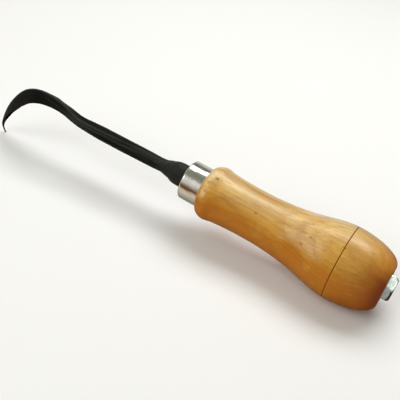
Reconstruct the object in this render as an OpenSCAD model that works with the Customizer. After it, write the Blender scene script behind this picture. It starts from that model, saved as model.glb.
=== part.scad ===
// Hand tool for grooving lino: a forged hooked V blade on a turned wooden handle.
// Frame: the tool's axis lies along X. The origin is the centre of the butt face,
// where the tang's end is flush with the nut. The blade points along +X and its
// hook curls down, towards -Z. Sizes are in millimetres.

/* [Handle] */
// largest diameter, at the scribed line
grip_d = 37.8; // [35:0.2:40]
// diameter of the waist
waist_d = 25.4; // [24:0.2:28]
// diameter of the rounded front shoulder
shoulder_d = 28.6; // [26:0.2:30]
// diameter of the flat ring around the nut
butt_flat_d = 20; // [17:0.2:22]
// width and depth of the scribed line
scribe = 0.5; // [0.4:0.1:1.2]

/* [Ferrule] */
// outer diameter of the ferrule
ferrule_d = 20.8; // [20:0.1:22]
// sheet thickness of the ferrule
ferrule_wall = 0.8; // [0.5:0.1:0.9]
// radius of the rolled front rim
ferrule_rim_r = 1.1; // [1:0.1:2]

/* [Blade] */
// largest diameter of the bolster
bolster_d = 12; // [11:0.1:13]
// width of the shank across its flat
shank_w = 8.8; // [8:0.1:9.6]
// thickness of the shank
shank_t = 4.6; // [4:0.1:5]
// depth of the forged hollow beside the rib
hollow_depth = 1.6; // [0.8:0.1:2]
// wall thickness of the V along its keel
keel_t = 1.2; // [1:0.1:1.8]

/* [Nut] */
// width across the flats of the hexagon nut
nut_af = 12; // [11:0.5:13]
// height of the nut
nut_h = 5; // [4.5:0.1:5.5]
// turn of the nut about the axis, in degrees
nut_turn = 9; // [0:1:59]
// thread diameter
thread_d = 8; // [7:0.5:8]

/* [Hidden] */

// Stations along the axis, from the butt face
butt_x = 3.8;
washer_t = 1.6;
seat_x = nut_h + washer_t;
grip_x = 27.3;
swell_x = 44.3;
waist_x = 74.9;
flare_x = 93.3;
shoulder_x = 97.5;
ferrule_x = 103.1;
bolster_x = 114.1;
plate_x = bolster_x - ferrule_wall;

// Radii that follow from the sizes above
grip_r = grip_d / 2;
waist_r = waist_d / 2;
shoulder_r = shoulder_d / 2;
butt_flat_r = butt_flat_d / 2;
ferrule_r = ferrule_d / 2;
bolster_r = bolster_d / 2;
shank_half_w = shank_w / 2;
shank_half_t = shank_t / 2;
neck_r = ferrule_r + 0.1;
fit_gap = 0.05;
tenon_r = ferrule_r - ferrule_wall - fit_gap;
tang_r = thread_d / 2;
tang_gap = 0.2;
washer_r = 7.5;
seat_r = washer_r + 0.2;
chamfer = 0.6;

// Swell and flare of the grip: how far each lies out from the waist, and its slope there
swell_share = 0.524;
swell_slope = -0.235;
flare_share = 0.53;
flare_slope = 0.1;
swell_r = waist_r + swell_share * (grip_r - waist_r);
flare_r = waist_r + flare_share * (shoulder_r - waist_r);

// Cubic curve from value a to value b with end slopes ma and mb, over a run d
function hermite(a, b, ma, mb, d, w) =
    (2 * w * w * w - 3 * w * w + 1) * a
    + (w * w * w - 2 * w * w + w) * d * ma
    + (3 * w * w - 2 * w * w * w) * b
    + (w * w * w - w * w) * d * mb;

// Points of one cubic stretch of a profile
function stretch(x0, r0, m0, x1, r1, m1, n) =
    [for (i = [0 : n - 1]) [x0 + (x1 - x0) * i / n, hermite(r0, r1, m0, m1, x1 - x0, i / n)]];

// Turned outline of the handle: rounded butt, swell, waist, flare, rounded shoulder
butt_curve = [for (i = [0 : 14])
    let (a = 90 * i / 15)
    [grip_x - (grip_x - butt_x) * cos(a), butt_flat_r + (grip_r - butt_flat_r) * sin(a)]];
shoulder_curve = [for (i = [0 : 9])
    let (a = 90 * i / 9)
    [shoulder_x + (ferrule_x - shoulder_x) * sin(a), neck_r + (shoulder_r - neck_r) * cos(a)]];
grip_curve = concat(
    butt_curve,
    stretch(grip_x, grip_r, 0, swell_x, swell_r, swell_slope, 8),
    stretch(swell_x, swell_r, swell_slope, waist_x, waist_r, 0, 14),
    stretch(waist_x, waist_r, 0, flare_x, flare_r, flare_slope, 8),
    stretch(flare_x, flare_r, flare_slope, shoulder_x, shoulder_r, 0, 3),
    shoulder_curve);

// Turns a profile of [x, radius] points about the tool's axis
module turned(points) {
    rotate([0, 90, 0])
        rotate_extrude($fn = 96)
            polygon([for (p = points) [p[1], p[0]]]);
}

// Round bar along X from x0 to x1
module bar(r, x0, x1) {
    translate([x0, 0, 0])
        rotate([0, 90, 0])
            cylinder(r = r, h = x1 - x0, $fn = 64);
}

// Value at s of the smooth curve through a list of [s, value] stations
function slope(tab, i) =
    let (a = max(i - 1, 0), b = min(i + 1, len(tab) - 1))
    (tab[b][1] - tab[a][1]) / (tab[b][0] - tab[a][0]);
function span_of(tab, s, i = 0) =
    i >= len(tab) - 2 || s < tab[i + 1][0] ? i : span_of(tab, s, i + 1);
function at(tab, s) =
    s <= tab[0][0] ? tab[0][1] :
    s >= tab[len(tab) - 1][0] ? tab[len(tab) - 1][1] :
    let (i = span_of(tab, s), d = tab[i + 1][0] - tab[i][0])
    hermite(tab[i][1], tab[i + 1][1], slope(tab, i), slope(tab, i + 1), d, (s - tab[i][0]) / d);
function ramp(a, b, s) =
    let (w = min(1, max(0, (s - a) / (b - a))))
    w * w * (3 - 2 * w);

// Keel line of the blade, as [length, turn in degrees] runs from the bolster
keel_rise = 0.5;
bends = [
    [6, -0.6],
    [59.6, 0],
    [2.5, 7.4],
    [8.2, 19.4],
    [21.2, -34.5],
    [15.1, -39.6],
    [21.5, -23.2],
    [6.9, -6.7],
    [8.8, -56.4]
];
function sum_to(i, k, j = 0) = j >= i ? 0 : bends[j][k] + sum_to(i, k, j + 1);
blade_len = sum_to(len(bends), 0);

// Heading of the keel line at length s
function run_of(s, i = 0) = i >= len(bends) - 1 || s < sum_to(i + 1, 0) ? i : run_of(s, i + 1);
function heading(s) =
    let (i = run_of(s))
    sum_to(i, 1) + bends[i][1] * (s - sum_to(i, 0)) / bends[i][0];

// Half width, half thickness and V depth along the blade
half_w = [
    [0, bolster_r - 0.45],
    [1.8, bolster_r - 0.1],
    [4.3, bolster_r],
    [6.8, bolster_r - 0.15],
    [8.3, bolster_r - 0.6],
    [9.8, bolster_r - 1.3],
    [12.3, shank_half_w - 0.15],
    [14.8, shank_half_w - 0.5],
    [23.3, shank_half_w - 0.15],
    [44.3, shank_half_w + 0.16],
    [65.3, shank_half_w + 0.37],
    [70.8, shank_half_w - 0.05],
    [75.3, shank_half_w - 0.2],
    [83.3, 4.4],
    [91.3, 5.7],
    [101.3, 6.3],
    [111.3, 5.6],
    [126.8, 4.2],
    [134.8, 2.8],
    [139.8, 2.1],
    [142.8, 1.5],
    [145.8, 0.6],
    [blade_len, 0.45]
];
half_t = [
    [0, bolster_r - 0.45],
    [1.8, bolster_r - 0.1],
    [4.3, bolster_r],
    [6.8, bolster_r - 0.2],
    [8.3, bolster_r - 0.6],
    [9.8, bolster_r - 1.35],
    [12.3, shank_half_t + 1.35],
    [14.8, shank_half_t + 0.3],
    [23.3, shank_half_t],
    [44.3, shank_half_t - 0.1],
    [71.3, shank_half_t - 0.8]
];
v_depth = [
    [65.3, 0.2],
    [70.8, 0.6],
    [75.3, 1.1],
    [83.3, 2.8],
    [91.3, 3.8],
    [101.3, 5.8],
    [111.3, 7],
    [126.8, 4.9],
    [134.8, 2.9],
    [139.8, 1.8],
    [142.8, 1],
    [145.8, 0.5],
    [blade_len, 0.4]
];
wall_t = [[69.3, keel_t + 0.2], [99.3, keel_t], [129.3, keel_t / 2], [142.3, 0.36], [blade_len, 0.35]];

// Height above the keel line of the shank's upper and lower face, v from -1 to 1 across
edge_t = 0.15;
function squareness(s) = 2 + 1.2 * ramp(7.3, 17.3, s);
function shank_half(s, v) =
    let (e = squareness(s))
    edge_t + (at(half_t, s) - edge_t) * pow(max(0, 1 - pow(abs(v), e)), 1 / e);
rib_h = 0.8;
rib_spread = 0.03;
function hollow(s, v) =
    ramp(25.3, 45.3, s) * (hollow_depth * pow(1 - v * v, 2) - rib_h * exp(-v * v / rib_spread));

// Fall of the section's middle below the keel line, at the bolster, behind it and along the shank
function drop(s) = 0.15 * (1 - ramp(7, 10.5, s)) + 0.44 * ramp(12, 19.5, s) + 0.17 * ramp(24, 44, s);
function shank_top(s, v) = -drop(s) + shank_half(s, v) - hollow(s, v);
function shank_bottom(s, v) = -drop(s) - shank_half(s, v);

// The same for the V blade: a rounded keel with two flanks
keel_round = 0.16;
edge_thinning = 0.85;
function flank(s, v) =
    -at(v_depth, s) * (sqrt(v * v + keel_round * keel_round) - keel_round)
    / (sqrt(1 + keel_round * keel_round) - keel_round);
function flank_slope(s, v) =
    at(v_depth, s) / at(half_w, s) * abs(v) / sqrt(v * v + keel_round * keel_round);
function flank_t(s, v) =
    at(wall_t, s) * (1 - edge_thinning * pow(abs(v), 3)) * sqrt(1 + pow(flank_slope(s, v), 2));

// The flat shank turns into the V over one stretch
function v_share(s) = ramp(53.3, 74.3, s);
function top_at(s, v) = shank_top(s, v) * (1 - v_share(s)) + flank(s, v) * v_share(s);
function bottom_at(s, v) =
    shank_bottom(s, v) * (1 - v_share(s)) + (flank(s, v) - flank_t(s, v)) * v_share(s);

// Cross-sections along the blade, each a ring of 2 * across points
across = 19;
steps = 84;
step_l = blade_len / steps;
spread = 80;
function across_at(i) = sin(spread * (2 * i / (across - 1) - 1)) / sin(spread);
function section(s) = concat(
    [for (i = [0 : across - 1])
        let (v = across_at(i))
        [at(half_w, s) * v, top_at(s, v)]],
    [for (i = [0 : across - 1])
        let (v = -across_at(i))
        [at(half_w, s) * v, bottom_at(s, v)]]);

// Points of the keel line, by adding up short straight steps
function walk(k, x, z) =
    let (m = heading((k + 0.5) * step_l))
    k > steps ? [] :
    concat([[x, z, heading(k * step_l)]], walk(k + 1, x + step_l * cos(m), z + step_l * sin(m)));
keel = walk(0, bolster_x, keel_rise);
ring_n = 2 * across;
blade_points = [for (k = [0 : steps])
    for (p = section(k * step_l))
        [keel[k][0] - p[1] * sin(keel[k][2]), p[0], keel[k][1] + p[1] * cos(keel[k][2])]];

// The rings are joined by triangles, and each end is closed by a strip from edge to edge
function wall_faces(k) = [for (j = [0 : ring_n - 1])
    let (a = k * ring_n + j, b = k * ring_n + (j + 1) % ring_n)
    each [[a, b + ring_n, a + ring_n], [a, b, b + ring_n]]];
function end_faces(first) = [for (j = [0 : across - 2])
    let (a = first + j, b = first + ring_n - 1 - j)
    each [[a, a + 1, b - 1], [a, b - 1, b]]];
function flipped(faces) = [for (f = faces) [f[2], f[1], f[0]]];
blade_faces = concat(
    flipped(end_faces(0)),
    [for (k = [0 : steps - 1]) each wall_faces(k)],
    end_faces(steps * ring_n));

// Forged hooked blade, shank and bolster, with a round tang that runs through the handle
module hook_blade() {
    tang_end = bolster_x + 2;
    color([0.1, 0.1, 0.1]) {
        polyhedron(points = blade_points, faces = blade_faces, convexity = 6);
        turned([
            [0, 0],
            [0, tang_r - chamfer],
            [chamfer, tang_r],
            [tang_end, tang_r],
            [tang_end, 0]
        ]);
    }
}

// Pressed cap that binds the front of the handle, with a rolled rim and a hole for the tang
module ferrule() {
    rim = [for (i = [0 : 6])
        let (a = 15 * i)
        [bolster_x - ferrule_rim_r + ferrule_rim_r * sin(a),
         ferrule_r - ferrule_rim_r + ferrule_rim_r * cos(a)]];
    inner_r = ferrule_r - ferrule_wall;
    bend_r = ferrule_rim_r - ferrule_wall;
    inside = [for (i = [6 : -1 : 0])
        let (a = 15 * i)
        [plate_x - bend_r + bend_r * sin(a), inner_r - bend_r + bend_r * cos(a)]];
    color([0.8, 0.8, 0.8])
        turned(concat(
            [[ferrule_x, inner_r], [ferrule_x, ferrule_r]],
            rim,
            [[bolster_x, tang_r + tang_gap], [plate_x, tang_r + tang_gap]],
            inside));
}

// Turned wooden handle with a tenon for the ferrule and a bore for the tang
module handle() {
    tenon_end = plate_x - fit_gap;
    color([0.8, 0.6, 0.3])
        difference() {
            union() {
                turned(concat([[butt_x, 0]], grip_curve, [[ferrule_x, 0]]));
                bar(tenon_r, ferrule_x - 1, tenon_end - ferrule_rim_r);
                turned([
                    [tenon_end - ferrule_rim_r - 1, 0],
                    [tenon_end - ferrule_rim_r - 1, tenon_r],
                    [tenon_end - ferrule_rim_r, tenon_r],
                    [tenon_end, tenon_r - ferrule_rim_r],
                    [tenon_end, 0]
                ]);
            }
            bar(tang_r + tang_gap, butt_x - 1, bolster_x);
            bar(seat_r, butt_x - 1, seat_x);
            turned([
                [grip_x - scribe / 2, grip_r + 1],
                [grip_x - scribe / 2, grip_r],
                [grip_x, grip_r - scribe],
                [grip_x + scribe / 2, grip_r],
                [grip_x + scribe / 2, grip_r + 1]
            ]);
        }
}

// Flat washer at the bottom of the seat in the butt
module washer() {
    color([0.7, 0.7, 0.7])
        difference() {
            bar(washer_r, nut_h, seat_x);
            bar(tang_r + tang_gap, nut_h - 1, seat_x + 1);
        }
}

// Hexagon nut with chamfered corners on the outer face
module nut() {
    corner_r = nut_af / (2 * cos(30));
    face_r = nut_af / 2 - 0.75;
    cone_l = 1.9;
    color([0.75, 0.77, 0.75])
        difference() {
            intersection() {
                rotate([nut_turn, 0, 0])
                    rotate([0, 90, 0])
                        cylinder(r = corner_r, h = nut_h, $fn = 6);
                turned([[0, 0], [0, face_r], [cone_l, corner_r], [nut_h, corner_r], [nut_h, 0]]);
            }
            bar(tang_r + fit_gap, -1, nut_h + 1);
        }
}

hook_blade();
ferrule();
handle();
washer();
nut();
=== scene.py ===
"""Hand tool for grooving lino: forged hooked V blade, bright ferrule, varnished handle, butt nut.

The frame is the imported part's own: X along the tool from the butt to the blade, +Z on the outer
side of the hook. Shapes are worked out in millimetres and scaled to metres as meshes are made.
"""

import math

import bpy
from mathutils import Matrix, Vector, noise


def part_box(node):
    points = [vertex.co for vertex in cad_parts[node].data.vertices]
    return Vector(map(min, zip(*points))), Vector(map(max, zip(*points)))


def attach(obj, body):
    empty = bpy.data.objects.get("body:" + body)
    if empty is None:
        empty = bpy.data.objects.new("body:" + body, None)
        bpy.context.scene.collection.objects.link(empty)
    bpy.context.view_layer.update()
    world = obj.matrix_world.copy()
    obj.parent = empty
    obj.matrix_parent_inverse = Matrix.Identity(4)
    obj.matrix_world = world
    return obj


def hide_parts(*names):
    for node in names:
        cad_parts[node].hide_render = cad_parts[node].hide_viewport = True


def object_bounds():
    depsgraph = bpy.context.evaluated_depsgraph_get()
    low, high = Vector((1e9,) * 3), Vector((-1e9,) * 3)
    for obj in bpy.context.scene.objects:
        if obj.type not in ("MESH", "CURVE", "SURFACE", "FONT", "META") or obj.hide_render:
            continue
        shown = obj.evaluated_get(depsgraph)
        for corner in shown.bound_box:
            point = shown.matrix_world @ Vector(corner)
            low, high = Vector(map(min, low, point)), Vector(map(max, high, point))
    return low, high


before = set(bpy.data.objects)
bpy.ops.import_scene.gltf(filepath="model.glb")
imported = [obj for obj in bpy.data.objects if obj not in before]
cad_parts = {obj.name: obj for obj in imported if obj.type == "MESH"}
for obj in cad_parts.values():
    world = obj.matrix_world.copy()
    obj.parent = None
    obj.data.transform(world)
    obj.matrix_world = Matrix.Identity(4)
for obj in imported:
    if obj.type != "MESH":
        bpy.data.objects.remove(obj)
cad_lo, cad_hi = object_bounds()

MM = 0.001


def size_of(node):
    """Lowest and highest corner of a CAD node, in millimetres."""
    lo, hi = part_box(node)
    return lo / MM, hi / MM


# ---------------------------------------------------------------- sizes, from the CAD nodes
handle_lo, handle_hi = size_of("handle")
ferrule_lo, ferrule_hi = size_of("ferrule")
_, washer_hi = size_of("washer")
_, nut_hi = size_of("nut")

GRIP_R = handle_hi.y
BUTT_X = handle_lo.x
TENON_END = handle_hi.x
FERRULE_X = ferrule_lo.x
BOLSTER_X = ferrule_hi.x
FERRULE_R = ferrule_hi.z
WASHER_R = washer_hi.z
SEAT_X = washer_hi.x
NUT_H = nut_hi.x
TANG_R = 4.0

WAIST_R = 12.7
SHOULDER_R = 14.3
BUTT_FLAT_R = 10.0
SCRIBE = 0.5
GROOVE_DEPTH = 0.32
GRIP_X, SWELL_X, WAIST_X, FLARE_X, SHOULDER_X = 27.3, 44.3, 74.9, 93.3, 97.5
SWELL_SHARE, SWELL_SLOPE = 0.524, -0.235
FLARE_SHARE, FLARE_SLOPE = 0.53, 0.1
FERRULE_WALL = 0.8
FERRULE_RIM_R = 1.1
FIT_GAP = 0.05
TANG_GAP = 0.2
SEAT_GAP = 0.2
NECK_STEP = 0.1
BOLSTER_R = 6.0
SHANK_HALF_W = 4.4
SHANK_HALF_T = 2.3
HOLLOW_DEPTH = 1.6
KEEL_T = 1.2
NUT_AF = 12.0
NUT_TURN = 9.0


# ---------------------------------------------------------------- curves
def hermite(a, b, ma, mb, d, w):
    """Cubic curve from value a to value b with end slopes ma and mb, over a run d."""
    return (
        (2 * w**3 - 3 * w**2 + 1) * a
        + (w**3 - 2 * w**2 + w) * d * ma
        + (3 * w**2 - 2 * w**3) * b
        + (w**3 - w**2) * d * mb
    )


def ramp(a, b, s):
    """0 before a, 1 after b, smooth between them."""
    w = min(1.0, max(0.0, (s - a) / (b - a)))
    return w * w * (3 - 2 * w)


def slope(tab, i):
    """Slope at station i of a list of (s, value) stations."""
    a, b = max(i - 1, 0), min(i + 1, len(tab) - 1)
    return (tab[b][1] - tab[a][1]) / (tab[b][0] - tab[a][0])


def at(tab, s):
    """Value at s of the smooth curve through a list of (s, value) stations."""
    if s <= tab[0][0]:
        return tab[0][1]
    if s >= tab[-1][0]:
        return tab[-1][1]
    i = max(k for k in range(len(tab) - 1) if s >= tab[k][0])
    d = tab[i + 1][0] - tab[i][0]
    w = (s - tab[i][0]) / d
    return hermite(tab[i][1], tab[i + 1][1], slope(tab, i), slope(tab, i + 1), d, w)


def stretch(x0, r0, m0, x1, r1, m1, n):
    """Points of one cubic stretch of a profile, without its last one."""
    return [
        (x0 + (x1 - x0) * i / n, hermite(r0, r1, m0, m1, x1 - x0, i / n))
        for i in range(n)
    ]


def arc(cx, cr, r, a0, a1, n):
    """Arc in a profile: angle 0 points along +X, 90 away from the axis."""
    out = []
    for i in range(n + 1):
        a = math.radians(a0 + (a1 - a0) * i / n)
        out.append((cx + r * math.cos(a), cr + r * math.sin(a)))
    return out


# ---------------------------------------------------------------- mesh making
def make(name, verts, faces, sharp=35, flow=None):
    """A smooth-shaded mesh object from points in millimetres. flow is a vector kept on each point."""
    mesh = bpy.data.meshes.new(name)
    mesh.from_pydata([(x * MM, y * MM, z * MM) for x, y, z in verts], [], faces)
    if flow:
        attribute = mesh.attributes.new("flow", "FLOAT_VECTOR", "POINT")
        attribute.data.foreach_set("vector", [c for v in flow for c in v])
    mesh.validate()
    mesh.shade_smooth()
    mesh.set_sharp_from_angle(angle=math.radians(sharp))
    obj = bpy.data.objects.new(name, mesh)
    bpy.context.scene.collection.objects.link(obj)
    return obj


def lathe(name, profile, sides, sharp=35, offset=None):
    """Turns a closed profile of (x, radius) points about the X axis.

    offset(x, radius, angle) is added to the radius.
    """
    verts, faces = [], []
    n = len(profile)
    for k in range(sides):
        a = 2 * math.pi * k / sides
        for x, r in profile:
            rr = r + (offset(x, r, a) if offset else 0)
            verts.append((x, rr * math.cos(a), rr * math.sin(a)))
    for k in range(sides):
        k1 = (k + 1) % sides
        for j in range(n):
            j1 = (j + 1) % n
            faces.append((k * n + j, k1 * n + j, k1 * n + j1, k * n + j1))
    return make(name, verts, faces, sharp)


# ---------------------------------------------------------------- blade
# Stations along the blade are lengths of the keel line from the bolster's back, in millimetres.
KEEL_RISE = 0.5
# Stretches of the keel line: length and turn in degrees
BENDS = [
    (6, -0.6),
    (59.6, 0),
    (2.5, 7.4),
    (8.2, 19.4),
    (21.2, -34.5),
    (15.1, -39.6),
    (21.5, -23.2),
    (6.9, -6.7),
    (8.8, -56.4),
]
BLADE_LEN = sum(b[0] for b in BENDS)

# Half the width, half the thickness, the depth of the V and the wall at its keel, at stations
HALF_W = [
    (0, BOLSTER_R - 0.45),
    (1.8, BOLSTER_R - 0.1),
    (4.3, BOLSTER_R),
    (6.8, BOLSTER_R - 0.15),
    (8.3, BOLSTER_R - 0.6),
    (9.8, BOLSTER_R - 1.3),
    (12.3, SHANK_HALF_W - 0.15),
    (14.8, SHANK_HALF_W - 0.5),
    (23.3, SHANK_HALF_W - 0.15),
    (44.3, SHANK_HALF_W + 0.16),
    (65.3, SHANK_HALF_W + 0.37),
    (70.8, SHANK_HALF_W - 0.05),
    (75.3, SHANK_HALF_W - 0.2),
    (83.3, 4.4),
    (91.3, 5.7),
    (101.3, 6.3),
    (111.3, 5.6),
    (126.8, 4.2),
    (134.8, 2.8),
    (139.8, 2.1),
    (142.8, 1.5),
    (145.8, 0.6),
    (BLADE_LEN, 0.45),
]
HALF_T = [
    (0, BOLSTER_R - 0.45),
    (1.8, BOLSTER_R - 0.1),
    (4.3, BOLSTER_R),
    (6.8, BOLSTER_R - 0.2),
    (8.3, BOLSTER_R - 0.6),
    (9.8, BOLSTER_R - 1.35),
    (12.3, SHANK_HALF_T + 1.35),
    (14.8, SHANK_HALF_T + 0.3),
    (23.3, SHANK_HALF_T),
    (44.3, SHANK_HALF_T - 0.1),
    (71.3, SHANK_HALF_T - 0.8),
]
V_DEPTH = [
    (65.3, 0.2),
    (70.8, 0.6),
    (75.3, 1.1),
    (83.3, 2.8),
    (91.3, 3.8),
    (101.3, 5.8),
    (111.3, 7),
    (126.8, 4.9),
    (134.8, 2.9),
    (139.8, 1.8),
    (142.8, 1),
    (145.8, 0.5),
    (BLADE_LEN, 0.4),
]
WALL_T = [(69.3, KEEL_T + 0.2), (99.3, KEEL_T), (129.3, KEEL_T / 2), (142.3, 0.36), (BLADE_LEN, 0.35)]
EDGE_T = 0.15
EDGE_THINNING = 0.85
KEEL_ROUND = 0.16
RIB_H = 0.8
RIB_SPREAD = 0.03


def shank_half(s, v):
    """Half thickness of the shank, round at the bolster and squarer along the shank."""
    power = 2 + 1.2 * ramp(7.3, 17.3, s)
    bulge = max(0.0, 1 - abs(v) ** power) ** (1 / power)
    return EDGE_T + (at(HALF_T, s) - EDGE_T) * bulge


def hollow(s, v):
    """Depth of the forged hollow, which leaves a rib along its middle."""
    rib = RIB_H * math.exp(-v * v / RIB_SPREAD)
    return ramp(25.3, 45.3, s) * (HOLLOW_DEPTH * (1 - v * v) ** 2 - rib)


def drop(s):
    """How far the middle of the section lies below the keel line."""
    at_bolster = 0.15 * (1 - ramp(7, 10.5, s))
    past_it = 0.44 * ramp(12, 19.5, s)
    along_shank = 0.17 * ramp(24, 44, s)
    return at_bolster + past_it + along_shank


def flank(s, v):
    """Height of the V's upper face, with a rounded keel."""
    k = KEEL_ROUND
    return -at(V_DEPTH, s) * (math.sqrt(v * v + k * k) - k) / (math.sqrt(1 + k * k) - k)


def flank_t(s, v):
    """Thickness of the V's wall, measured upright and thinning to its edges."""
    k = KEEL_ROUND
    rise = at(V_DEPTH, s) / at(HALF_W, s) * abs(v) / math.sqrt(v * v + k * k)
    return at(WALL_T, s) * (1 - EDGE_THINNING * abs(v) ** 3) * math.sqrt(1 + rise * rise)


def blade_heights(s, v):
    """Height of the upper and lower face above the keel line, v from -1 to 1 across."""
    share = ramp(53.3, 74.3, s)
    half = shank_half(s, v)
    top = (-drop(s) + half - hollow(s, v)) * (1 - share) + flank(s, v) * share
    low = (-drop(s) - half) * (1 - share) + (flank(s, v) - flank_t(s, v)) * share
    return top, low


def keel_path(steps):
    """Points (x, z, heading) along the keel line, by short straight steps."""
    step = BLADE_LEN / steps

    def heading(s):
        done, turn = 0.0, 0.0
        for i, (run, bend) in enumerate(BENDS):
            if s < done + run or i == len(BENDS) - 1:
                return turn + bend * (s - done) / run
            done, turn = done + run, turn + bend

    x, z, out = BOLSTER_X, KEEL_RISE, []
    for k in range(steps + 1):
        out.append((x, z, math.radians(heading(k * step))))
        m = math.radians(heading((k + 0.5) * step))
        x, z = x + step * math.cos(m), z + step * math.sin(m)
    return out


def forged(s, v, side):
    """Small unevenness of the hammered faces, in millimetres."""
    broad = noise.noise(Vector((s * 0.16, v * 1.6, side * 7.0)))
    fine = noise.noise(Vector((s * 0.5, v * 4.5, side * 7.0 + 3.1)))
    return (0.07 * broad + 0.03 * fine) * (1 - abs(v) ** 4)


def build_blade():
    """Rings of points around the blade at steps along the keel line, closed at both ends."""
    across, steps, spread = 45, 420, math.radians(84)
    spots = [
        math.sin(spread * (2 * i / (across - 1) - 1)) / math.sin(spread)
        for i in range(across)
    ]
    verts, flow, faces = [], [], []
    keel = keel_path(steps)
    ring = 2 * across
    for k, (x, z, m) in enumerate(keel):
        s = BLADE_LEN * k / steps
        half_w = at(HALF_W, s)
        pairs = [(v, blade_heights(s, v)) for v in spots]
        row = [(v, h[0] - forged(s, v, 0), 1.0) for v, h in pairs]
        row += [(v, h[1] + forged(s, v, 1), -1.0) for v, h in reversed(pairs)]
        for v, h, side in row:
            verts.append((x - h * math.sin(m), half_w * v, z + h * math.cos(m)))
            flow.append((s, half_w * v, side))
    for k in range(steps):
        for j in range(ring):
            a, b = k * ring + j, k * ring + (j + 1) % ring
            faces.append((a, a + ring, b + ring, b))
    for first, flip in ((0, False), (steps * ring, True)):
        for j in range(across - 1):
            a, b = first + j, first + ring - 1 - j
            face = (a, a + 1, b - 1, b)
            faces.append(face[::-1] if flip else face)
    return make("blade", verts, faces, sharp=40, flow=flow)


def build_tang():
    """Round tang with a cut thread under the nut, seen only at its end face."""
    pitch, depth, chamfer, sides = 1.25, 0.55, 0.6, 72
    thread_end, far_end, step, far_steps = 14.0, BOLSTER_X + 1.0, 0.12, 40
    stations = [step * i for i in range(int(thread_end / step))]
    stations += [thread_end + (far_end - thread_end) * i / far_steps for i in range(far_steps + 1)]
    verts, faces = [], []
    rings, dish = (0.12, 0.3, 0.5, 0.7, 0.82), 0.04
    for k in range(sides):
        a = 2 * math.pi * k / sides
        for share in rings:
            r = share * (TANG_R - chamfer)
            verts.append((dish * (1 - share), r * math.cos(a), r * math.sin(a)))
        for x in stations:
            phase = (x / pitch - k / sides) % 1.0
            cut = depth * (1 - ramp(thread_end - 3, thread_end - 1, x))
            r = TANG_R - cut * (1 - abs(2 * phase - 1)) ** 0.8
            r = min(r, TANG_R - chamfer + x)
            verts.append((x, r * math.cos(a), r * math.sin(a)))
    n = len(rings) + len(stations)
    for k in range(sides):
        k1 = (k + 1) % sides
        for j in range(n - 1):
            faces.append((k * n + j, k1 * n + j, k1 * n + j + 1, k * n + j + 1))
    for j, x in ((0, dish), (n - 1, far_end)):
        pole = len(verts)
        verts.append((x, 0.0, 0.0))
        for k in range(sides):
            k1 = (k + 1) % sides
            face = (k * n + j, pole, k1 * n + j)
            faces.append(face if j == 0 else face[::-1])
    return make("tang", verts, faces, sharp=40)


# ---------------------------------------------------------------- ferrule, handle, washer, nut
def build_ferrule():
    """Pressed cap: its side, rolled rim and front plate, then back through the hole and inside."""
    inner = FERRULE_R - FERRULE_WALL
    plate = BOLSTER_X - FERRULE_WALL
    bend = FERRULE_RIM_R - FERRULE_WALL
    hole = TANG_R + TANG_GAP
    edge, burr, lip, bend_gap = 0.2, 0.15, 0.25, 0.2
    body, flat = 24, 8
    rim_x, rim_r = BOLSTER_X - FERRULE_RIM_R, FERRULE_R - FERRULE_RIM_R
    side_x = FERRULE_X + edge
    points = [(FERRULE_X, inner + burr), (FERRULE_X, FERRULE_R - edge)]
    points += arc(side_x, FERRULE_R - edge, edge, 180, 90, 4)[1:]
    points += [(side_x + (rim_x - side_x) * i / body, FERRULE_R) for i in range(1, body)]
    points += arc(rim_x, rim_r, FERRULE_RIM_R, 90, 0, 14)
    points += [(BOLSTER_X, rim_r + (hole + lip - rim_r) * i / flat) for i in range(1, flat + 1)]
    points += arc(BOLSTER_X - lip, hole + lip, lip, 0, -90, 4)[1:]
    points += [(plate, hole), (plate, inner - bend - bend_gap)]
    points += arc(plate - bend, inner - bend, bend, 0, 90, 6)
    points += [(FERRULE_X + burr, inner)]
    side_from, dent, ripple = FERRULE_R - 0.3, 0.018, 0.005

    def dents(x, r, a):
        if r < side_from:
            return 0.0
        p = Vector((x * 0.22, 2.2 * math.cos(a), 2.2 * math.sin(a)))
        return -dent * max(0.0, noise.noise(p)) - ripple * abs(noise.noise(p * 3.3))

    return lathe("ferrule_cap", points, sides=192, sharp=40, offset=dents)


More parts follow.
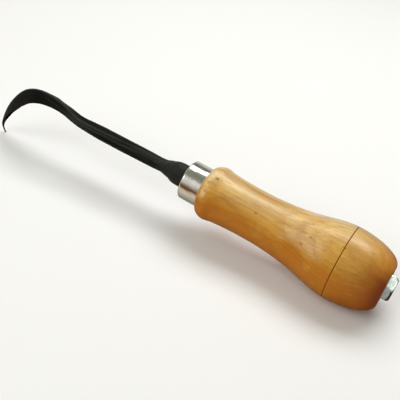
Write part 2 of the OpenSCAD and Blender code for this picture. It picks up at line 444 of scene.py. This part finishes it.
def build_handle():
    """Profile from the washer's seat round the butt, along the grip and waist to the tenon."""
    neck_r = FERRULE_R + NECK_STEP
    swell_r = WAIST_R + SWELL_SHARE * (GRIP_R - WAIST_R)
    flare_r = WAIST_R + FLARE_SHARE * (SHOULDER_R - WAIST_R)
    bore, seat_r = TANG_R + TANG_GAP, WASHER_R + SEAT_GAP
    tenon_r = FERRULE_R - FERRULE_WALL - FIT_GAP
    lip, step, butt_steps, shoulder_steps = 0.35, 0.5, 44, 24
    half = SCRIBE / 2
    beside = half + 0.1
    points = [(SEAT_X, bore), (SEAT_X, seat_r)]
    points += [(SEAT_X - step * (i + 1), seat_r) for i in range(int((SEAT_X - BUTT_X - lip) / step))]
    points += arc(BUTT_X + lip, seat_r + lip, lip, 270, 180, 5)
    for i in range(1, butt_steps):
        a = math.radians(90 * i / butt_steps)
        x = GRIP_X - (GRIP_X - BUTT_X) * math.cos(a)
        if x < GRIP_X - beside:
            points.append((x, BUTT_FLAT_R + (GRIP_R - BUTT_FLAT_R) * math.sin(a)))
    # the scribed line: one wall of the groove, its bottom and the same wall mirrored
    wall = [(-half - 0.08, 0.0), (-half, -0.04), (-half + 0.06, -0.12), (-0.06, -GROOVE_DEPTH + 0.06)]
    groove = wall + [(0.0, -GROOVE_DEPTH)] + [(-x, y) for x, y in reversed(wall)]
    points += [(GRIP_X + x, GRIP_R + y) for x, y in groove]
    curve = stretch(GRIP_X, GRIP_R, 0, SWELL_X, swell_r, SWELL_SLOPE, 30)
    points += [p for p in curve if p[0] > GRIP_X + beside]
    points += stretch(SWELL_X, swell_r, SWELL_SLOPE, WAIST_X, WAIST_R, 0, 50)
    points += stretch(WAIST_X, WAIST_R, 0, FLARE_X, flare_r, FLARE_SLOPE, 30)
    points += stretch(FLARE_X, flare_r, FLARE_SLOPE, SHOULDER_X, SHOULDER_R, 0, 10)
    for i in range(shoulder_steps + 1):
        a = math.radians(90 * i / shoulder_steps)
        x = SHOULDER_X + (FERRULE_X - SHOULDER_X) * math.sin(a)
        points.append((x, neck_r + (SHOULDER_R - neck_r) * math.cos(a)))
    points += [(FERRULE_X, tenon_r), (TENON_END - FERRULE_RIM_R, tenon_r)]
    points += [(TENON_END, tenon_r - FERRULE_RIM_R), (TENON_END, bore)]

    outside_from, even_from, broad_depth, ripple_depth = 8.0, FERRULE_X - 0.5, 0.05, 0.012

    def uneven(x, r, a):
        if r < outside_from or x > even_from:
            return 0.0
        broad = noise.noise(Vector((x * 0.035, 0.9 * math.cos(a), 0.9 * math.sin(a))))
        ripple = noise.noise(Vector((x * 0.45, 0.6 * math.cos(a), 0.6 * math.sin(a))))
        return -broad_depth * abs(broad) - ripple_depth * abs(ripple)

    return lathe("turned_handle", points, sides=288, sharp=30, offset=uneven)


def build_washer():
    """Flat washer with rounded edges, between the nut and its seat."""
    edge, hole = 0.25, TANG_R + TANG_GAP
    points = arc(NUT_H + edge, WASHER_R - edge, edge, 180, 90, 4)
    points += arc(SEAT_X - edge, WASHER_R - edge, edge, 90, 0, 4)
    points += arc(SEAT_X - edge, hole + edge, edge, 0, -90, 4)
    points += arc(NUT_H + edge, hole + edge, edge, -90, -180, 4)
    return lathe("flat_washer", points, sides=96)


def build_nut():
    """Hexagon nut: rounded corners, a cone cut on the outer face, a countersunk thread."""
    sides, corner_round, face_r, cone_l = 180, 0.18, NUT_AF / 2 - 0.75, 1.9
    corner_r = NUT_AF / 2 / math.cos(math.radians(30))
    bore, edge_round, sink = TANG_R + FIT_GAP, 0.2, 0.4
    side_steps, bore_steps = 6, 8
    arc_at = (NUT_AF / 2 - corner_round) / math.cos(math.radians(30))
    turn = math.radians(NUT_TURN)
    side_x = NUT_H - edge_round

    def hex_r(a):
        """Radius of the rounded hexagon: corners lie at whole sixths of a turn."""
        b = abs((a + math.pi / 6) % (math.pi / 3) - math.pi / 6)
        flat = NUT_AF / 2 / math.cos(math.pi / 6 - b)
        inside = corner_round**2 - (arc_at * math.sin(b)) ** 2
        if inside <= 0:
            return flat
        return min(flat, arc_at * math.cos(b) + math.sqrt(inside))

    verts, faces = [], []
    cone = cone_l / (corner_r - face_r)
    for k in range(sides):
        a = 2 * math.pi * k / sides
        edge = hex_r(a)
        cut = cone * (edge - face_r)
        # inner face, flat, cone, outer face and bore
        row = [(NUT_H, bore), (NUT_H - 0.02, bore + 1.2)]
        row += [(NUT_H, min(edge, corner_r) - edge_round), (side_x, edge)]
        row += [(side_x - (side_x - cut) * i / side_steps, edge) for i in range(1, side_steps)]
        row += [(cut + 0.12, edge)]
        row += [(cut * w, face_r + (edge - 0.03 - face_r) * w) for w in (0.97, 0.7, 0.4, 0.12)]
        row += [(0.0, face_r - 0.12), (0.0, face_r - 0.5), (0.0, bore + 0.45)]
        row += [(sink, bore + 0.02)]
        row += [(sink + (NUT_H - sink) * i / bore_steps, bore) for i in range(1, bore_steps)]
        n = len(row)
        # the corners are turned about the axis from -Z
        b = a + turn
        verts += [(x, r * math.sin(b), -r * math.cos(b)) for x, r in row]
    for k in range(sides):
        k1 = (k + 1) % sides
        for j in range(n):
            j1 = (j + 1) % n
            faces.append((k * n + j, k * n + j1, k1 * n + j1, k1 * n + j))
    return make("hex_nut", verts, faces, sharp=22)


# ---------------------------------------------------------------- materials
class Nodes:
    """Short ways to add and join shader nodes."""

    def __init__(self, owner):
        self.owner = owner
        owner.use_nodes = True
        self.tree = owner.node_tree
        self.tree.nodes.clear()

    def add(self, kind, settings=None, **inputs):
        """A new node. In the names of its inputs an underscore stands for a space."""
        node = self.tree.nodes.new(kind)
        for key, value in (settings or {}).items():
            setattr(node, key, value)
        for key, value in inputs.items():
            self.put(node, key.replace("_", " "), value)
        return node

    def put(self, node, key, value):
        """Joins or sets an input, known by its name or as # and its number."""
        socket = node.inputs[int(key[1:])] if key[0] == "#" else node.inputs[key]
        if isinstance(value, bpy.types.NodeSocket):
            self.tree.links.new(value, socket)
        else:
            socket.default_value = value

    def math(self, op, a, b=0.0):
        node = self.add("ShaderNodeMath", {"operation": op})
        self.put(node, "#0", a)
        self.put(node, "#1", b)
        return node.outputs[0]

    def vmath(self, op, a, b=(0, 0, 0)):
        node = self.add("ShaderNodeVectorMath", {"operation": op})
        self.put(node, "#0", a)
        self.put(node, "#1", b)
        return node.outputs["Value" if op == "LENGTH" else "Vector"]

    def product(self, first, *others):
        for other in others:
            first = self.math("MULTIPLY", first, other)
        return first

    def noise(self, vector, scale, detail=3.0, rough=0.55):
        node = self.add("ShaderNodeTexNoise", Vector=vector, Scale=scale, Detail=detail, Roughness=rough)
        return node.outputs["Fac"]

    def drawn(self, place, squeeze, detail=3.0, rough=0.55):
        """Noise drawn out along the axes where squeeze is small."""
        return self.noise(self.vmath("MULTIPLY", place, squeeze), 1.0, detail, rough)

    def band(self, value, low, high, to_low=0.0, to_high=1.0):
        """value from low..high to to_low..to_high, clamped and eased."""
        node = self.add("ShaderNodeMapRange", {"interpolation_type": "SMOOTHSTEP"}, Value=value)
        numbers = {"From Min": low, "From Max": high, "To Min": to_low, "To Max": to_high}
        for key, number in numbers.items():
            node.inputs[key].default_value = number
        return node.outputs[0]

    def ramp(self, value, *stops):
        node = self.add("ShaderNodeValToRGB", Fac=value)
        points = node.color_ramp.elements
        while len(points) < len(stops):
            points.new(0.5)
        for point, (at_value, colour) in zip(points, stops):
            point.position = at_value
            point.color = (*colour, 1.0)
        return node.outputs["Color"]

    def mix(self, factor, a, b, blend="MIX"):
        """Colour b laid over colour a by factor. These sockets are known by number."""
        node = self.add("ShaderNodeMix", {"data_type": "RGBA", "blend_type": blend})
        self.put(node, "#0", factor)
        for key, colour in (("#6", a), ("#7", b)):
            self.put(node, key, (*colour, 1.0) if isinstance(colour, tuple) else colour)
        return node.outputs[2]

    def layers(self, base, parts):
        """Colours laid over base in turn, each by its share."""
        for share, colour in parts:
            base = self.mix(share, base, colour)
        return base

    def bump(self, height, distance, strength=1.0, normal=None):
        node = self.add("ShaderNodeBump", Height=height, Distance=distance, Strength=strength)
        if normal is not None:
            self.put(node, "Normal", normal)
        return node.outputs[0]

    def finish(self, settings, **links):
        shader = self.add("ShaderNodeBsdfPrincipled")
        for key, value in settings.items():
            shader.inputs[key].default_value = value
        for key, value in links.items():
            self.put(shader, key.replace("_", " "), value)
        self.add("ShaderNodeOutputMaterial", Surface=shader.outputs[0])
        return self.owner

    def place(self):
        """Position on the object, in millimetres, and its x, y and z."""
        coord = self.add("ShaderNodeTexCoord").outputs["Object"]
        mm = self.vmath("MULTIPLY", coord, (1000, 1000, 1000))
        return (mm, *self.add("ShaderNodeSeparateXYZ", Vector=mm).outputs)

    def normal_x(self):
        """How far the surface faces along the tool's axis: -1 at the butt, 1 at the front."""
        normal = self.add("ShaderNodeTexCoord").outputs["Normal"]
        return self.add("ShaderNodeSeparateXYZ", Vector=normal).outputs[0]


# Small pits and bruises in the wood: station, radius, angle about the axis, size and darkness
MARKS = [
    (96.75, 14.25, 68.0, 1.0, 0.75),
    (72.0, 12.7, 44.0, 0.9, 0.5),
    (45.5, 15.7, 75.5, 0.7, 0.45),
    (43.25, 16.2, 51.0, 0.8, 0.5),
    (45.75, 15.6, 33.5, 1.0, 0.45),
    (27.3, 18.9, 58.5, 0.9, 0.6),
    (35.25, 18.0, -18.0, 0.8, 0.4),
    (61.0, 13.5, 112.0, 0.9, 0.5),
    (84.0, 13.0, 205.0, 1.0, 0.6),
    (31.0, 18.7, 250.0, 0.9, 0.5),
]
MARK_COLOUR = (0.12, 0.05, 0.012)


def mark_layer(n, mm, mark):
    """Share and colour of one mark, longer along the grain."""
    station, radius, angle, size, dark = mark
    turned = math.radians(angle)
    centre = (station, radius * math.cos(turned), radius * math.sin(turned))
    away = n.vmath("MULTIPLY", n.vmath("SUBTRACT", mm, centre), (0.65, 1.0, 1.0))
    return n.band(n.vmath("LENGTH", away), 0.25 * size, size, dark, 0.0), MARK_COLOUR


def late_wood(n, mm, x, across):
    """Dark edges of growth rings about a line beside the handle, nearly straight along it."""
    ring_centre, rings_per_mm, taper, swing = (0.0, -22.0, -40.0), 0.55, 0.02, 5.0
    sway = n.math("SUBTRACT", n.drawn(mm, (0.011, 0.05, 0.05), 2.0), 0.5)
    distance = n.vmath("LENGTH", n.vmath("SUBTRACT", across, ring_centre))
    distance = n.math("ADD", distance, n.math("MULTIPLY", sway, swing))
    distance = n.math("ADD", distance, n.math("MULTIPLY", x, taper))
    ring = n.math("FRACT", n.math("MULTIPLY", distance, rings_per_mm))
    return n.product(n.band(ring, 0.3, 0.88), n.band(ring, 0.92, 1.0, 1.0, 0.0))


def specks(n, mm):
    """A few dark specks, in about a third of the cells that fill the wood."""
    cells = n.add("ShaderNodeTexVoronoi", Vector=n.vmath("MULTIPLY", mm, (0.07, 0.11, 0.11)), Scale=1.0)
    chosen = n.add("ShaderNodeSeparateColor", Color=cells.outputs["Color"]).outputs[0]
    near = n.band(cells.outputs["Distance"], 0.05, 0.1, 1.0, 0.0)
    return n.product(near, n.band(chosen, 0.62, 0.66))


def wood_material():
    n = Nodes(bpy.data.materials.new("varnished_wood"))
    mm, x, y, z = n.place()
    across = n.vmath("MULTIPLY", mm, (0.0, 1.0, 1.0))
    radius = n.vmath("LENGTH", across)
    # lift is 1 on the outer side of the hook, lean is 1 on the +Y side, facing is 1 at the front
    lift = n.math("DIVIDE", z, radius)
    lean = n.math("DIVIDE", y, radius)
    facing = n.normal_x()
    butt = n.math("MULTIPLY", facing, -1.0)

    # fibres, streaks and short pores along the grain, cloudy patches, patches of wear
    fibre = n.drawn(mm, (0.032, 1.5, 1.5), 4.0, 0.6)
    grain = n.drawn(mm, (0.028, 0.95, 0.95), 3.0, 0.6)
    streak = n.drawn(mm, (0.012, 0.42, 0.42), 4.0, 0.65)
    pores = n.drawn(mm, (0.3, 3.4, 3.4), 2.0, 0.5)
    patch = n.drawn(mm, (0.03, 0.1, 0.1), 2.0)
    pore = n.product(n.band(pores, 0.62, 0.74), n.band(patch, 0.4, 0.58))
    cloud = n.drawn(mm, (0.03, 0.07, 0.07), 3.0, 0.6)
    blotch = n.drawn(mm, (0.07, 0.1, 0.1), 4.0, 0.65)
    wear = n.drawn(mm, (0.22, 0.26, 0.26), 3.0, 0.6)
    # lift with cloudy noise: it places the painted light on the upper side and the painted shade on the
    # lower
    lift_mottled = n.math("ADD", lift, n.math("MULTIPLY", n.math("SUBTRACT", cloud, 0.5), 0.7))

    # painted sheen: paler on the upper side of the grip and of the swell, and high on the swell's -Y
    # side, where the light falls
    grip_painted_sheen = n.product(n.band(lift_mottled, 0.58, 1.1), n.band(x, 14.0, 30.0, 0.0, 0.62))
    swell = n.product(
        n.band(x, 31.0, 41.0),
        n.band(x, 50.0, 62.0, 0.42, 0.0),
        n.band(lift_mottled, 0.28, 0.6),
        n.band(lift, 0.82, 0.97, 1.0, 0.0),
    )
    swell_side_sheen = n.product(
        n.band(lean, -0.34, 0.0, 0.5, 0.0),
        n.band(lift, 0.5, 0.85),
        n.band(x, 25.0, 34.0),
        n.band(x, 46.0, 60.0, 1.0, 0.0),
    )
    # a darker streak along the top of the waist
    waist = n.product(
        n.band(lean, 0.0, 0.3, 1.0, 0.0),
        n.band(lean, -0.3, -0.08),
        n.band(lift, 0.0, 0.5),
        n.band(x, 58.0, 68.0, 0.0, 0.45),
        n.band(x, 77.0, 88.0, 1.0, 0.0),
    )
    # end grain at the butt takes up more of the varnish; spared on the upper side, it is also painted
    # shade low on the butt
    end_grain_and_shade = n.product(
        n.band(butt, -0.15, 0.7, 0.0, 0.92),
        n.band(x, 20.0, 34.0, 1.0, 0.0),
        n.band(lift_mottled, 0.7, 1.1, 1.0, 0.0),
    )
    # handled bare on the rounded front shoulder, with darker patches lower down
    front = n.band(x, 84.0, 97.0)
    kept = n.product(front, n.band(lift_mottled, 0.1, 0.6, 1.0, 0.0), n.band(wear, 0.42, 0.6, 0.0, 0.55))
    rim = n.product(n.band(facing, 0.04, 0.2), n.band(facing, 0.35, 0.6, 1.0, 0.0))
    bare = n.product(rim, front, n.band(wear, 0.44, 0.58, 0.6, 0.0), n.band(lift, 0.2, 0.5))
    # darker colour in and beside the scribed line
    from_line = n.math("ABSOLUTE", n.math("SUBTRACT", x, GRIP_X))

    # painted light and shade: golden on the outer side of the hook, where the light falls, and more
    # orange on the other
    orange, gold = (0.515, 0.175, 0.012), (0.69, 0.365, 0.05)
    base = n.mix(n.band(lift_mottled, 0.1, 0.75), orange, gold)
    parts = [
        (n.band(blotch, 0.48, 0.68, 0.0, 0.48), (0.43, 0.145, 0.008)),
        (n.band(blotch, 0.3, 0.46, 0.35, 0.0), (0.70, 0.41, 0.07)),
        # painted shade: darker brown towards the underside
        (n.band(lift, -0.78, 0.0, 0.65, 0.0), (0.28, 0.085, 0.01)),
        (grip_painted_sheen, (0.83, 0.64, 0.31)),
        (swell, (0.80, 0.62, 0.38)),
        (swell_side_sheen, (0.84, 0.74, 0.58)),
        (waist, (0.43, 0.18, 0.015)),
        (n.band(streak, 0.42, 0.68, 0.0, 0.34), (0.40, 0.155, 0.014)),
        (n.math("MULTIPLY", late_wood(n, mm, x, across), 0.17), (0.30, 0.10, 0.012)),
        (n.band(fibre, 0.42, 0.7, 0.0, 0.28), (0.36, 0.14, 0.014)),
        (n.band(grain, 0.53, 0.66, 0.0, 0.2), (0.34, 0.115, 0.010)),
        (n.math("MULTIPLY", pore, 0.62), (0.15, 0.05, 0.01)),
        (n.math("MULTIPLY", specks(n, mm), 0.6), (0.09, 0.03, 0.01)),
    ]
    parts += [mark_layer(n, mm, mark) for mark in MARKS]
    parts += [
        (n.band(butt, 0.14, 0.6, 0.0, 0.62), (0.60, 0.195, 0.008)),
        (end_grain_and_shade, (0.215, 0.036, 0.005)),
        (kept, (0.42, 0.115, 0.004)),
        (bare, (0.84, 0.70, 0.42)),
        (n.band(facing, 0.55, 0.9, 0.0, 0.5), (0.52, 0.20, 0.02)),
        (n.band(from_line, 0.12, 0.32, 0.75, 0.0), (0.17, 0.055, 0.008)),
    ]
    base = n.layers(base, parts)

    # the varnish shines on top and is duller low down, at the butt and where it is rubbed
    turned_away = n.math("MAXIMUM", butt, 0.0)
    shine = n.band(n.math("SUBTRACT", lift, turned_away), 0.2, 0.85, 0.15, 1.0)
    rubbed_and_sheen = n.product(n.band(x, 20.0, 32.0), n.band(x, 50.0, 85.0, 0.5, 0.0))
    gloss = n.product(shine, n.band(butt, 0.1, 0.6, 1.0, 0.5), n.math("SUBTRACT", 1.0, rubbed_and_sheen))
    height = n.math("ADD", n.math("MULTIPLY", fibre, 0.6), n.math("MULTIPLY", streak, 0.4))
    fine = n.bump(n.math("SUBTRACT", height, pore), 0.00003, 0.5)
    wavy = n.bump(n.drawn(mm, (0.12, 0.3, 0.3), 2.0), 0.0004, 0.35, fine)
    return n.finish(
        {"IOR": 1.45, "Coat Roughness": 0.27, "Coat IOR": 1.5, "Specular IOR Level": 0.1},
        Base_Color=base,
        Coat_Weight=gloss,
        Roughness=n.band(fibre, 0.2, 0.8, 0.36, 0.5),
        Normal=wavy,
        Coat_Normal=wavy,
    )


def blade_material():
    n = Nodes(bpy.data.materials.new("blackened_steel"))
    mm = n.place()[0]
    # flow holds the length along the blade and the place across it, in millimetres
    flow = n.add("ShaderNodeAttribute", {"attribute_name": "flow"}).outputs["Vector"]
    along, across, _ = n.add("ShaderNodeSeparateXYZ", Vector=flow).outputs
    drawn = n.drawn(flow, (0.035, 1.3, 1.0), 3.0, 0.6)
    scale = n.noise(mm, 0.55, 4.0, 0.65)
    grit = n.noise(mm, 3.2, 3.0, 0.7)
    hammer = n.noise(mm, 0.16, 2.0, 0.5)
    lines = n.math("MULTIPLY", n.math("SUBTRACT", drawn, scale), n.band(along, 12.0, 30.0, 0.15, 0.75))
    base = n.ramp(
        n.math("ADD", scale, lines),
        (0.34, (0.0012, 0.0014, 0.0008)),
        (0.5, (0.0055, 0.0062, 0.0045)),
        (0.64, (0.018, 0.020, 0.016)),
    )
    # painted light and shade: greyer at the bolster as painted light, blacker towards the hook and on the
    # -Y flank where the V begins as painted shade
    far_flank_painted_shade = n.product(
        n.band(along, 57.0, 67.0),
        n.band(along, 82.0, 96.0, 1.0, 0.0),
        n.band(across, -1.6, -0.5, 0.85, 0.0),
    )
    # painted highlight: the rib and the keel are coloured brighter
    from_keel = n.math("ABSOLUTE", across)
    crest_painted_highlight = n.product(n.band(from_keel, 0.2, 1.3, 1.0, 0.0), n.band(drawn, 0.25, 0.6), 0.8)
    grey, black, rubbed_and_sheen = (0.030, 0.031, 0.027), (0.0008, 0.0010, 0.0005), (0.030, 0.034, 0.029)
    parts = [
        (n.band(along, 10.0, 24.0, 0.6, 0.0), grey),
        (n.band(along, 80.0, 98.0, 0.0, 0.75), black),
        (far_flank_painted_shade, black),
        (crest_painted_highlight, rubbed_and_sheen),
    ]
    height = n.math("ADD", n.math("MULTIPLY", drawn, 0.6), n.math("MULTIPLY", grit, 0.25))
    height = n.math("ADD", height, n.math("MULTIPLY", scale, 0.5))
    return n.finish(
        {"Metallic": 0.0, "Specular IOR Level": 0.085, "IOR": 1.5},
        Base_Color=n.layers(base, parts),
        Roughness=n.math("ADD", n.band(scale, 0.3, 0.75, 0.4, 0.56), n.band(grit, 0.2, 0.8, -0.05, 0.07)),
        Normal=n.bump(height, 0.00014, 0.8, n.bump(hammer, 0.0008, 0.35)),
    )


def nickel_material():
    n = Nodes(bpy.data.materials.new("bright_nickel"))
    mm = n.place()[0]
    smear = n.drawn(mm, (0.35, 0.9, 0.9), 3.0, 0.6)
    brushed = n.drawn(mm, (6.0, 0.35, 0.35), 3.0, 0.6)
    dents = n.drawn(mm, (0.18, 0.3, 0.3), 1.0, 0.4)
    spots = n.noise(mm, 1.4, 3.0, 0.7)
    clean, smeared, spotted = (0.80, 0.79, 0.76), (0.70, 0.685, 0.65), (0.42, 0.40, 0.36)
    base = n.mix(n.band(smear, 0.3, 0.75), clean, smeared)
    base = n.mix(n.band(spots, 0.66, 0.78, 0.0, 0.35), base, spotted)
    return n.finish(
        {"Metallic": 1.0},
        Base_Color=base,
        Roughness=n.math("ADD", n.band(smear, 0.25, 0.8, 0.1, 0.2), n.band(spots, 0.6, 0.8, 0.0, 0.12)),
        Normal=n.bump(brushed, 0.00001, 0.4, n.bump(dents, 0.0004, 0.4)),
    )


def zinc_material(name, tint, rough_low, rough_high):
    n = Nodes(bpy.data.materials.new(name))
    mm = n.place()[0]
    cloud = n.noise(mm, 0.45, 3.0, 0.6)
    grit = n.noise(mm, 2.6, 4.0, 0.7)
    scratch = n.drawn(mm, (0.6, 3.0, 3.0), 3.0, 0.6)
    dull, pitted = (tuple(share * c for c in tint) for share in (0.78, 0.35))
    base = n.mix(n.band(cloud, 0.3, 0.72), tint, dull)
    base = n.mix(n.band(grit, 0.62, 0.8, 0.0, 0.5), base, pitted)
    height = n.math("ADD", n.math("MULTIPLY", grit, 0.5), n.math("MULTIPLY", scratch, 0.5))
    return n.finish(
        {"Metallic": 1.0},
        Base_Color=base,
        Roughness=n.band(cloud, 0.25, 0.75, rough_low, rough_high),
        Normal=n.bump(height, 0.00006, 0.5),
    )


def floor_material():
    n = Nodes(bpy.data.materials.new("pale_floor"))
    cloud = n.noise(n.place()[0], 0.006, 2.0)
    base = n.mix(cloud, (0.93, 0.93, 0.93), (0.95, 0.95, 0.95))
    return n.finish({"Specular IOR Level": 0.1}, Base_Color=base, Roughness=n.band(cloud, 0, 1, 0.7, 0.8))


# ---------------------------------------------------------------- the object
def piece(obj, material, node):
    """Gives a mesh its material, hides the CAD node it stands for and hangs it under the root body."""
    obj.data.materials.append(material)
    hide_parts(node)
    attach(obj, "root")
    return obj


blade = piece(build_blade(), blade_material(), "hook_blade")
cut_steel = zinc_material("cut_thread_steel", (0.50, 0.50, 0.47), 0.32, 0.5)
piece(build_tang(), cut_steel, "hook_blade")
piece(build_ferrule(), nickel_material(), "ferrule")
handle = piece(build_handle(), wood_material(), "handle")
piece(build_washer(), zinc_material("washer_zinc", (0.6, 0.6, 0.57), 0.3, 0.45), "washer")
piece(build_nut(), zinc_material("nut_zinc", (0.80, 0.85, 0.81), 0.12, 0.26), "nut")


# ---------------------------------------------------------------- floor, touching the handle and the hook
def lowest(obj, tilt):
    """Height of the object's lowest point above a plane through the origin that rises by tilt along X."""
    return min(v.co.z - tilt * v.co.x for v in obj.data.vertices)


low_tilt, high_tilt, halvings = -0.5, 0.5, 24
for _ in range(halvings):
    tilt = (low_tilt + high_tilt) / 2
    if lowest(blade, tilt) < lowest(handle, tilt):
        high_tilt = tilt
    else:
        low_tilt = tilt
floor_z = min(lowest(blade, tilt), lowest(handle, tilt)) / MM

# a sheet of cells under the tool, in millimetres
REACH, MIDDLE_X, CELLS = 2500, 100, 12
ROW = CELLS + 1
spots = [REACH * (2 * i / CELLS - 1) for i in range(ROW)]
floor_verts = [(MIDDLE_X + x, y, floor_z + tilt * (MIDDLE_X + x)) for y in spots for x in spots]
corners = [j * ROW + i for j in range(CELLS) for i in range(CELLS)]
floor_faces = [(c, c + 1, c + ROW + 1, c + ROW) for c in corners]
floor = make("floor", floor_verts, floor_faces)
floor.data.materials.append(floor_material())
floor.visible_glossy = False

# ---------------------------------------------------------------- camera
CAMERA_AT = Vector((-0.00327, 0.27361, 0.22121))
LOOK = Vector((0.28972, -0.73319, -0.61522)).normalized()
ROLL = math.radians(15.13)
level = LOOK.cross(Vector((0, 0, 1))).normalized()
upright = level.cross(LOOK)
right = level * math.cos(ROLL) + upright * math.sin(ROLL)
up = upright * math.cos(ROLL) - level * math.sin(ROLL)
camera_data = bpy.data.cameras.new("camera")
camera_data.sensor_width = 36.0
camera_data.lens = 65.7
camera_data.clip_start = 0.01
camera = bpy.data.objects.new("camera", camera_data)
basis = Matrix((right, up, -LOOK)).transposed()
camera.matrix_world = Matrix.Translation(CAMERA_AT) @ basis.to_4x4()
bpy.context.scene.collection.objects.link(camera)
bpy.context.scene.camera = camera


# ---------------------------------------------------------------- light
def softbox(name, towards, distance, size, energy):
    """Rectangular area light at a distance from the tool's middle, facing it."""
    middle = (cad_lo + cad_hi) / 2
    data = bpy.data.lights.new(name, "AREA")
    data.shape = "RECTANGLE"
    data.size, data.size_y = size
    data.energy = energy
    obj = bpy.data.objects.new(name, data)
    way = Vector(towards).normalized()
    facing = way.to_track_quat("Z", "Y").to_matrix().to_4x4()
    obj.matrix_world = Matrix.Translation(middle + way * distance) @ facing
    bpy.context.scene.collection.objects.link(obj)
    return obj


# the key light is two boxes: a broad one that lights the surfaces, a narrower one for the reflections
KEY_WAY = (0.06, -0.43, 0.90)
key = softbox("key", KEY_WAY, 0.75, (0.7, 0.42), 3.9)
key.visible_glossy = False
key_shine = softbox("key_shine", KEY_WAY, 0.73, (0.7, 0.30), 2.8)
key_shine.visible_diffuse = False
softbox("side_fill", (0.52, 0.64, 0.57), 0.9, (0.3, 0.3), 0.5)
front_fill = softbox("front_fill", (0.3, 0.62, 0.72), 0.9, (0.6, 0.6), 2.1)
front_fill.visible_glossy = False

# Studio around the tool: grey bands that run along it, seen in the metal, and pale to the camera.
# Each has its angle about the tool in degrees, 0 at +Y and 90 at +Z, and its colour.
STUDIO = [
    (-180, (0.80, 0.78, 0.72)),
    (-150, (0.66, 0.64, 0.58)),
    (-127, (0.52, 0.50, 0.45)),
    (-95, (0.25, 0.24, 0.19)),
    (-63, (0.61, 0.57, 0.47)),
    (-42, (0.84, 0.74, 0.60)),
    (-29, (0.80, 0.62, 0.45)),
    (-21, (0.29, 0.14, 0.065)),
    (-12, (0.11, 0.05, 0.018)),
    (-2, (0.30, 0.20, 0.12)),
    (12, (0.66, 0.63, 0.55)),
    (33, (0.97, 0.97, 0.91)),
    (47, (0.44, 0.43, 0.37)),
    (62, (0.29, 0.30, 0.22)),
    (84, (0.26, 0.27, 0.19)),
    (100, (0.42, 0.41, 0.36)),
    (124, (0.42, 0.41, 0.36)),
    (140, (0.20, 0.17, 0.145)),
    (150, (0.21, 0.185, 0.16)),
    (163, (0.60, 0.57, 0.51)),
    (180, (0.80, 0.78, 0.72)),
]

world = bpy.data.worlds.new("studio")
bpy.context.scene.world = world
n = Nodes(world)
way = n.add("ShaderNodeTexCoord").outputs["Generated"]
along, sideways, upwards = n.add("ShaderNodeSeparateXYZ", Vector=way).outputs
angle = n.math("ARCTAN2", upwards, sideways)
turn = n.math("ADD", n.math("DIVIDE", angle, 2 * math.pi), 0.5)
bands = n.ramp(turn, *[((degrees + 180) / 360, colour) for degrees, colour in STUDIO])
# the bands brighten from the butt's side of the studio to the blade's, up to full_at
full_at, rise, level_at_middle = 0.6, 0.40625, 0.75625
fade = n.math("ADD", n.math("MULTIPLY", n.math("MINIMUM", along, full_at), rise), level_at_middle)
grey = n.add("ShaderNodeCombineColor", Red=fade, Green=fade, Blue=fade).outputs[0]
studio = n.mix(1.0, bands, grey, "MULTIPLY")
# on the butt's side, for reflections only: a backdrop, pale above and brown at the bottom, and
# straight behind the butt a bright panel over a dark one
path = n.add("ShaderNodeLightPath")
panels = n.mix(n.band(upwards, -0.1, 0.1), (0.02, 0.02, 0.02), (1.3, 1.3, 1.28))
backdrop = n.mix(n.band(upwards, -0.4, 0.3), (0.36, 0.38, 0.355), (0.62, 0.69, 0.64))
backdrop = n.mix(n.band(upwards, -0.75, -0.5), (0.12, 0.07, 0.04), backdrop)
wall = n.mix(n.band(along, -0.75, -0.45), panels, backdrop)
behind = n.math("MULTIPLY", n.band(along, 0.06, 0.2, 1.0, 0.0), path.outputs["Is Glossy Ray"])
studio = n.mix(behind, studio, wall)
studio = n.mix(path.outputs["Is Camera Ray"], studio, (0.97, 0.97, 0.97))
background = n.add("ShaderNodeBackground", Color=studio)
n.add("ShaderNodeOutputWorld", Surface=background.outputs[0])

bpy.context.scene.view_settings.view_transform = "Standard"
